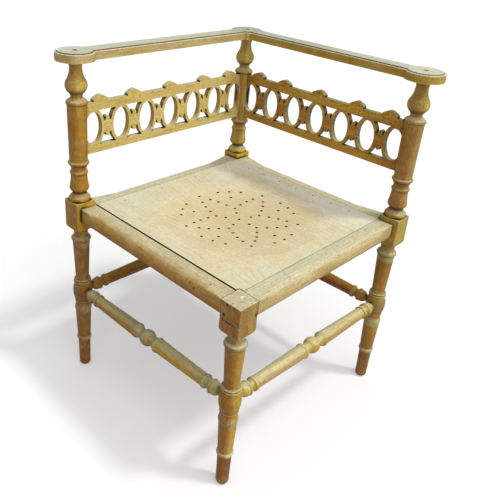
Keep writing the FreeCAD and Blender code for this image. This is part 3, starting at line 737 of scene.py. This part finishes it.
def rod_tree():
    """Short round rods with eased ends, one at each point, facing the point's direction."""
    tree, start, out = new_group(
        "Rods on Points", "GeometryNodeTree",
        [("Geometry", SHAPE, None), ("Diameter", NUMBER, 0.005), ("Length", NUMBER, 0.02),
         ("Ease", NUMBER, 0.0003), ("Facets Around", COUNT, 20), ("Material", FINISH, None)],
        [("Geometry", SHAPE)])
    radius = maths(tree, "MULTIPLY", start.outputs["Diameter"], 0.5)
    ease = start.outputs["Ease"]
    size = start.outputs["Length"]
    inner = maths(tree, "SUBTRACT", radius, ease)
    drum = put(tree, "GeometryNodeMeshCylinder", {
        "Vertices": start.outputs["Facets Around"], "Radius": radius,
        "Depth": maths(tree, "SUBTRACT", size, ease)}).outputs["Mesh"]
    cap = put(tree, "GeometryNodeMeshCone", {
        "Vertices": start.outputs["Facets Around"], "Radius Top": inner, "Radius Bottom": radius,
        "Depth": ease}).outputs["Mesh"]
    lowered = put(tree, "GeometryNodeTransform", {
        "Geometry": drum, "Translation": put(tree, "ShaderNodeCombineXYZ", {
            "Z": maths(tree, "MULTIPLY", maths(tree, "ADD", size, ease), -0.5)}).outputs[0]}).outputs[0]
    capped = put(tree, "GeometryNodeTransform", {
        "Geometry": cap, "Translation": put(tree, "ShaderNodeCombineXYZ", {
            "Z": maths(tree, "MULTIPLY", ease, -1.0)}).outputs[0]}).outputs[0]
    joined = tree.nodes.new("GeometryNodeJoinGeometry")
    tree.links.new(lowered, joined.inputs[0])
    tree.links.new(capped, joined.inputs[0])
    facing = put(tree, "GeometryNodeInputNamedAttribute", {"Name": "facing"}, data_type="FLOAT_VECTOR")
    tilt = put(tree, "FunctionNodeAlignRotationToVector", {"Vector": facing.outputs[0]}, axis="Z").outputs[0]
    placed = put(tree, "GeometryNodeInstanceOnPoints", {
        "Points": start.outputs["Geometry"], "Instance": joined.outputs[0], "Rotation": tilt}).outputs[0]
    return close_shape(tree, start, out, placed)


class CHAIR_OT_effects(bpy.types.Operator):
    """Builds the node groups that the finishes and the repeated pieces share"""
    bl_idname = "chair.effects"
    bl_label = "Shared Effects"

    def execute(self, context):
        grain_group()
        weather_and_shade_group()
        edge_group()
        spot_group()
        lathe_tree()
        rod_tree()
        return {"FINISHED"}


def stick_stops(shaft, leg, block):
    """Colours of a leg or post from the foot up, with greener rings and collars."""
    hue = colours()
    # The pale band above the foot is a painted highlight on the ring there; the band of the upper vases is
    # partly a painted highlight.
    bands = [
        (0.0, 0.072, hue.russet), (0.075, 0.083, hue.worn), (0.086, 0.151, leg), (0.155, 0.170, hue.ring),
        (0.175, 0.181, leg), (0.186, 0.225, leg), (0.229, 0.243, hue.ring_gold), (0.247, 0.322, leg),
        (0.328, 0.352, hue.ring), (0.362, 0.435, block), (0.445, 0.490, shaft), (0.495, 0.521, shaft),
        (0.526, 0.648, shaft), (0.660, 0.725, hue.vase_and_highlight)]
    return [(place, tone) for low, high, tone in bands for place in (low, high)]


def stretcher_stops(first, last, shaft, turned):
    """Colours of a stretcher along its length: turned ends and middle, plain shafts between."""
    ends, middle, step = 0.064, 0.035, 0.004
    centre = (first + last) / 2
    bands = [(first, first + ends, turned), (first + ends + step, centre - middle - step, shaft),
             (centre - middle, centre + middle, turned), (centre + middle + step, last - ends - step, shaft),
             (last - ends, last, turned)]
    return [(place, tone) for low, high, tone in bands for place in (low, high)]


def on_post(name, height, along_x=0.0, along_y=0.0):
    """Place at a height on the axis of a post, or beside it."""
    return POST[name] + Vector((along_x, along_y, height))


def ball_mark(name, tone, strength):
    """Mark that takes in the ball of a leg."""
    return on_post(name, LEG_BALL_HEIGHT), (0.032, 0.032, 0.026), tone, strength


def block_mark(name, face, along, height, half_width, half_height, tone, strength):
    """Mark on the left or front face of a post's block, so far along the face from its middle."""
    depth = 0.004
    if face == "left":
        return on_post(name, height, -HALF_BLOCK, along), (depth, half_width, half_height), tone, strength
    return on_post(name, height, along, -HALF_BLOCK), (half_width, depth, half_height), tone, strength


class CHAIR_OT_posts(bpy.types.Operator):
    """Finishes the three tall posts and the front leg"""
    bl_idname = "chair.posts"
    bl_label = "Posts and Front Leg"

    def execute(self, context):
        hue = colours()
        left_marks = [
            block_mark("left", "front", 0.0125, 0.402, 0.020, 0.036, hue.yellow, 0.85),
            ball_mark("left", hue.underside_shade, 0.45)]
        right_marks = [
            ball_mark("right", hue.moss, 0.6),
            block_mark("right", "left", 0.0, 0.402, 0.030, 0.040, hue.olive, 0.5)]
        paint_fleck = (on_post("front", SEAT_TOP, 0.0082, 0.0025), (0.005, 0.003, 0.004), hue.fleck, 0.8)
        split = block_mark("front", "left", 0.0, 0.3845, 0.0260, 0.0019, hue.hole, 0.9)
        old_holes = [
            block_mark("front", "left", 0.0130, 0.3955, 0.0032, 0.0055, hue.hole, 0.85),
            block_mark("front", "left", 0.0155, 0.3870, 0.0022, 0.0035, hue.hole, 0.7),
            block_mark("front", "left", 0.0067, 0.4180, 0.0030, 0.0035, hue.hole, 0.8),
            block_mark("front", "front", 0.0180, 0.3955, 0.0034, 0.0042, hue.hole, 0.9)]
        # left sets the strength of the painted shade on faces that look left.
        looks = {
            "post_left": dict(stops=stick_stops(hue.ochre, hue.chestnut, hue.yellow), left=0.6, wash=0.75,
                              spots=left_marks),
            "post_right": dict(stops=stick_stops(hue.fawn, hue.honey, hue.olive), left=0.2, wash=0.9,
                               spots=right_marks),
            "post_back": dict(stops=stick_stops(hue.olive, hue.honey, hue.yellow), left=0.2, wash=0.8),
            "front_leg": dict(stops=stick_stops(hue.ochre, hue.ochre, hue.fawn), left=0.65, wash=0.95,
                              top=hue.cream, spots=[paint_fleck, split] + old_holes),
        }
        for index, (name, look) in enumerate(looks.items()):
            look.setdefault("top", hue.dusk)
            finish = wood("turned_" + name, "Z", hue.ochre, hue.russet, offset=index * 1.7, rough=0.45,
                          edge=0.75, shelter=0.4, hollow=1.0, reach=0.008, **look)
            dress(name, finish)
        return {"FINISHED"}


class CHAIR_OT_stretchers(bpy.types.Operator):
    """Turns the four stretchers between the legs"""
    bl_idname = "chair.stretchers"
    bl_label = "Stretchers"

    def execute(self, context):
        hue = colours()
        # Wood, darker bands, upper side and turned parts of each stretcher; the back ones are russet as
        # painted shade under the seat
        looks = {
            "front_left": (hue.ochre, hue.russet, hue.dusk, hue.ring),
            "front_right": (hue.sand, hue.honey, hue.worn, hue.ring_gold),
            "back_left": (hue.russet, hue.russet, hue.honey, hue.honey),
            "back_right": (hue.russet, hue.russet, hue.honey, hue.honey),
        }
        tree = bpy.data.node_groups["Turned Stick"]
        for index, (side, (tone, dark, top, turned)) in enumerate(looks.items()):
            first, last = (on_post(name, sizes().stretcher_height) for name in SIDE_ENDS[side])
            half = (last - first).length / 2
            right = stretcher_outline(half / MM)
            outline = [(-place, radius) for place, radius in reversed(right)] + right[1:]
            outline = [(outline[0][0], 0.0)] + outline + [(outline[-1][0], 0.0)]
            mesh = points_mesh("outline", [(radius * MM, 0, place * MM) for place, radius in outline])
            along = 0 if abs((last - first).normalized().x) > 0.5 else 1
            low, high = sorted((first[along], last[along]))
            finish = wood("stretcher_%s_wood" % side, "XY"[along], tone, dark, top,
                          stops=stretcher_stops(low, high, tone, turned), stop_axis="XY"[along],
                          # Painted shade: a weaker pale top on the back stretchers, and little underside
                          # shade on the lit front right one.
                          offset=3.1 + index * 2.3, wash=0.6 if "back" in side else 0.85, rough=0.48,
                          left=0.2, edge=0.7, shelter=0.55, hollow=1.0,
                          underside_shade=0.15 if side == "front_right" else FULL_UNDERSIDE_SHADE)
            piece = grown("stretcher_%s_turned" % side, mesh, tree, {
                "Start": first, "End": last, "Facets Around": sizes().around, "Material": finish})
            piece.data.set_sharp_from_angle(angle=SHARP_ANGLE)
            stand_for(piece, ["stretcher_" + side])
        return {"FINISHED"}


class CHAIR_OT_seat_rails(bpy.types.Operator):
    """Finishes the four rounded seat rails"""
    bl_idname = "chair.seat_rails"
    bl_label = "Seat Rails"

    def execute(self, context):
        hue = colours()
        marks = {
            "front_left": [((-0.2505, -0.1330, 0.4070), (0.004, 0.0035, 0.005), hue.scar, 0.8),
                           ((-0.2500, -0.1215, 0.4115), (0.003, 0.002, 0.006), hue.scar, 0.7),
                           ((-0.2480, -0.1120, 0.4140), (0.003, 0.0015, 0.004), hue.scar, 0.5)],
            "front_right": [((-0.139, -0.2363, 0.420), (0.006, 0.003, 0.003), hue.fleck, 0.9),
                            ((-0.084, -0.2380, 0.418), (0.003, 0.002, 0.002), hue.fleck, 0.7)],
        }
        for index, side in enumerate(SIDE_ENDS):
            grain = "X" if side in ("front_right", "back_left") else "Y"
            # The front left rail faces away from the light: its fawn base and its smaller pale top are
            # painted shade; every rail turns brown towards its lower edge as painted shade.
            shaded = side == "front_left"
            finish = wood("seat_rail_%s_wood" % side, grain, hue.fawn if shaded else hue.sand, hue.honey,
                          hue.cream, offset=11.3 + index * 1.9, wash=0.95, wash_from=0.55 if shaded else 0.3,
                          wash_to=1.12 if shaded else 1.0, left=0.25, rough=0.55, band=0.22, wander=0.01,
                          low_edge=(0.411, 0.393) if shaded else (0.404, 0.386), spots=marks.get(side, ()))
            dress("seat_rail_" + side, finish)
        return {"FINISHED"}


class CHAIR_OT_seat_panel(bpy.types.Operator):
    """Finishes the dished, perforated seat board"""
    bl_idname = "chair.seat_panel"
    bl_label = "Seat Board"

    def execute(self, context):
        dress("seat_panel", board_wood("seat_board"))
        return {"FINISHED"}


class CHAIR_OT_pierced_rails(bpy.types.Operator):
    """Finishes the two pierced back rails"""
    bl_idname = "chair.pierced_rails"
    bl_label = "Pierced Rails"

    def execute(self, context):
        hue = colours()
        left = wood("pierced_rail_left_wood", "X", hue.straw, hue.ochre, hue.cream, offset=31.0, wash=0.85,
                    rough=0.55, band=0.25, left=0.6, shelter=0.2, edge=0.25, wall=("Y", hue.honey, 0.45))
        lower_bar = ((0.234, -0.040, 0.538), (0.010, 0.190, 0.014), hue.ochre, 0.45)
        right = wood("pierced_rail_right_wood", "Y", hue.ochre, hue.russet, hue.dusk, offset=33.0, wash=0.95,
                     rough=0.5, left=0.1, band=0.8, edge=0.15, mottle=0.35, wall=("X", hue.moss, 0.85),
                     spots=[lower_bar])
        dress("pierced_rail_left", left)
        dress("pierced_rail_right", right)
        return {"FINISHED"}


class CHAIR_OT_arms(bpy.types.Operator):
    """Finishes the two flat arms"""
    bl_idname = "chair.arms"
    bl_label = "Arms"

    def execute(self, context):
        hue = colours()
        corner = (on_post("back", ARM_TOP), (0.060, 0.060, 0.012), hue.moss, 0.3)
        right_end = (on_post("right", ARM_TOP), (0.045, 0.045, 0.012), hue.board_cool, 0.45)
        right_middle = (on_post("right", ARM_TOP, 0.0, 0.300), (0.045, 0.130, 0.012), hue.moss, 0.2)
        marks = {"arm_left": [corner], "arm_right": [corner, right_end, right_middle]}
        for name, grain, offset in (("arm_left", "X", 41.0), ("arm_right", "Y", 44.0)):
            finish = wood(name + "_wood", grain, hue.sand if name == "arm_left" else hue.olive, hue.honey,
                          hue.arm_cream, offset=offset, wash=0.97, rough=0.55, hollow=0.6, band=0.4,
                          spots=marks[name])
            dress(name, finish)
        return {"FINISHED"}


def nail_places(height):
    """Places of the board's nails at one height, row by row."""
    row_x = POST["back"].x - HALF_BLOCK - NAIL_INSET
    row_y = POST["back"].y - HALF_BLOCK - NAIL_INSET
    places = [((step - (NAILS_X - 1) / 2) * NAIL_STEP_X, row_y) for step in range(NAILS_X)]
    places += [(row_x, (step - (NAILS_Y - 1) / 2) * NAIL_STEP_Y) for step in range(NAILS_Y)]
    return [Vector((x, y, height)) for x, y in places]


class CHAIR_OT_fasteners(bpy.types.Operator):
    """Makes the nails of the seat board, the pegs of the rails and the dowels of the arm corner"""
    bl_idname = "chair.fasteners"
    bl_label = "Nails, Pegs and Dowels"

    def execute(self, context):
        hue = colours()
        size = sizes()
        tree = bpy.data.node_groups["Rods on Points"]
        end_grain = wood("peg_end_grain", "Z", hue.russet, hue.grime_and_shade, hue.honey, offset=51.0, wash=0.1,
                         rough=0.7)
        metal = steel("nail_and_screw_steel")
        places = nail_places(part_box("seat_panel")[1].z)
        mesh = points_mesh("nail_points", places, [(0, 0, 1)] * len(places))
        nails = grown("seat_board_nails", mesh, tree, {
            "Diameter": size.nail_head, "Length": size.nail_thick, "Ease": size.nail_ease,
            "Facets Around": NAIL_FACETS, "Material": metal})
        stand_for(nails, ["seat_panel_nails"])
        dress("rail_pegs", end_grain)
        dress("arm_corner_dowels", end_grain)
        dress("arm_screws", metal)
        return {"FINISHED"}


# Stage

WHITE = (1, 1, 1, 1)


def lay_floor(stage):
    """White floor that glows a little, so that it takes only part of the shade."""
    reach = FLOOR_REACH
    mesh = bpy.data.meshes.new("floor")
    mesh.from_pydata([(-reach, -reach, 0), (reach, -reach, 0), (reach, reach, 0), (-reach, reach, 0)],
                     [], [(0, 1, 2, 3)])
    floor = shown("floor", mesh)
    material, tree = bare_material("studio_floor")
    path = put(tree, "ShaderNodeLightPath").outputs
    seen = maths(tree, "MAXIMUM", path["Is Camera Ray"], path["Is Glossy Ray"])
    share = maths(tree, "MULTIPLY", seen, 1.0 - stage.floor_depth)
    tone = eased(tree, path["Is Camera Ray"], 0.0, 1.0, FLOOR_TONE_BOUNCED, FLOOR_TONE_SEEN)
    matt = put(tree, "ShaderNodeBsdfDiffuse", {"Color": grey_of(tree, tone)})
    glow = put(tree, "ShaderNodeEmission", {"Color": WHITE, "Strength": FLOOR_GLOW})
    both = put(tree, "ShaderNodeMixShader", {0: share, 1: matt.outputs[0], 2: glow.outputs[0]})
    put(tree, "ShaderNodeOutputMaterial", {"Surface": both.outputs[0]})
    mesh.materials.append(material)


def surround(scene, strength):
    """Even light from all around, seen by the camera as plain white."""
    world = bpy.data.worlds.new("studio")
    scene.world = world
    world.use_nodes = True
    tree = world.node_tree
    tree.nodes.clear()
    path = put(tree, "ShaderNodeLightPath").outputs
    light = put(tree, "ShaderNodeBackground", {"Color": WHITE, "Strength": strength})
    white = put(tree, "ShaderNodeBackground", {"Color": WHITE, "Strength": 1.0})
    seen = maths(tree, "MAXIMUM", path["Is Camera Ray"], path["Is Transmission Ray"])
    both = put(tree, "ShaderNodeMixShader", {0: seen, 1: light.outputs[0], 2: white.outputs[0]})
    put(tree, "ShaderNodeOutputWorld", {"Surface": both.outputs[0]})


def add_sun(name, strength, angle, way):
    lamp = bpy.data.lights.new(name, "SUN")
    lamp.energy = strength
    lamp.angle = angle
    shown(name, lamp).rotation_euler = Vector(way).to_track_quat("-Z", "Y").to_euler()


def add_camera(scene):
    lens = bpy.data.cameras.new("camera")
    lens.sensor_width = CAMERA_SENSOR
    lens.lens = CAMERA_LENS
    lens.shift_x, lens.shift_y = CAMERA_SHIFT
    lens.clip_end = CAMERA_SEES_TO
    camera = shown("camera", lens)
    turn = Matrix((CAMERA_RIGHT, CAMERA_UP, CAMERA_BACK)).transposed().to_quaternion()
    camera.matrix_world = Matrix.LocRotScale(Vector(CAMERA_PLACE), turn, None)
    scene.camera = camera


class CHAIR_OT_stage(bpy.types.Operator):
    """Sets up the floor, the soft light and the camera"""
    bl_idname = "chair.stage"
    bl_label = "Stage"

    def execute(self, context):
        scene = context.scene
        stage = scene.chair_stage
        scene.view_settings.view_transform = "Standard"
        lay_floor(stage)
        surround(scene, stage.fill)
        add_sun("shadow_sun", stage.key, stage.key_angle, SHADOW_SUN_WAY)
        add_sun("front_sun", stage.front, stage.front_angle, FRONT_SUN_WAY)
        add_camera(scene)
        return {"FINISHED"}


OPERATORS = (
    CHAIR_OT_effects, CHAIR_OT_posts, CHAIR_OT_stretchers, CHAIR_OT_seat_rails, CHAIR_OT_seat_panel,
    CHAIR_OT_pierced_rails, CHAIR_OT_arms, CHAIR_OT_fasteners, CHAIR_OT_stage,
)


class CHAIR_PT_panel(bpy.types.Panel):
    """Lists the pieces of the chair and the stage"""
    bl_idname = "CHAIR_PT_panel"
    bl_label = "Corner Chair"
    bl_space_type = "VIEW_3D"
    bl_region_type = "UI"
    bl_category = "Corner Chair"

    def draw(self, context):
        for operator in OPERATORS:
            self.layout.operator(operator.bl_idname)


GROUPS = (
    (ChairColours, "chair_colours"),
    (ChairSizes, "chair_sizes"),
    (ChairStage, "chair_stage"),
)


def register():
    for group_class, place in GROUPS:
        bpy.utils.register_class(group_class)
        setattr(bpy.types.Scene, place, bpy.props.PointerProperty(type=group_class))
    for operator in OPERATORS:
        bpy.utils.register_class(operator)
    bpy.utils.register_class(CHAIR_PT_panel)


def unregister():
    bpy.utils.unregister_class(CHAIR_PT_panel)
    for operator in reversed(OPERATORS):
        bpy.utils.unregister_class(operator)
    for group_class, place in reversed(GROUPS):
        delattr(bpy.types.Scene, place)
        bpy.utils.unregister_class(group_class)


def main():
    register()
    bpy.ops.chair.effects()
    bpy.ops.chair.posts()
    bpy.ops.chair.stretchers()
    bpy.ops.chair.seat_rails()
    bpy.ops.chair.seat_panel()
    bpy.ops.chair.pierced_rails()
    bpy.ops.chair.arms()
    bpy.ops.chair.fasteners()
    bpy.ops.chair.stage()


if __name__ == "__main__":
    main()
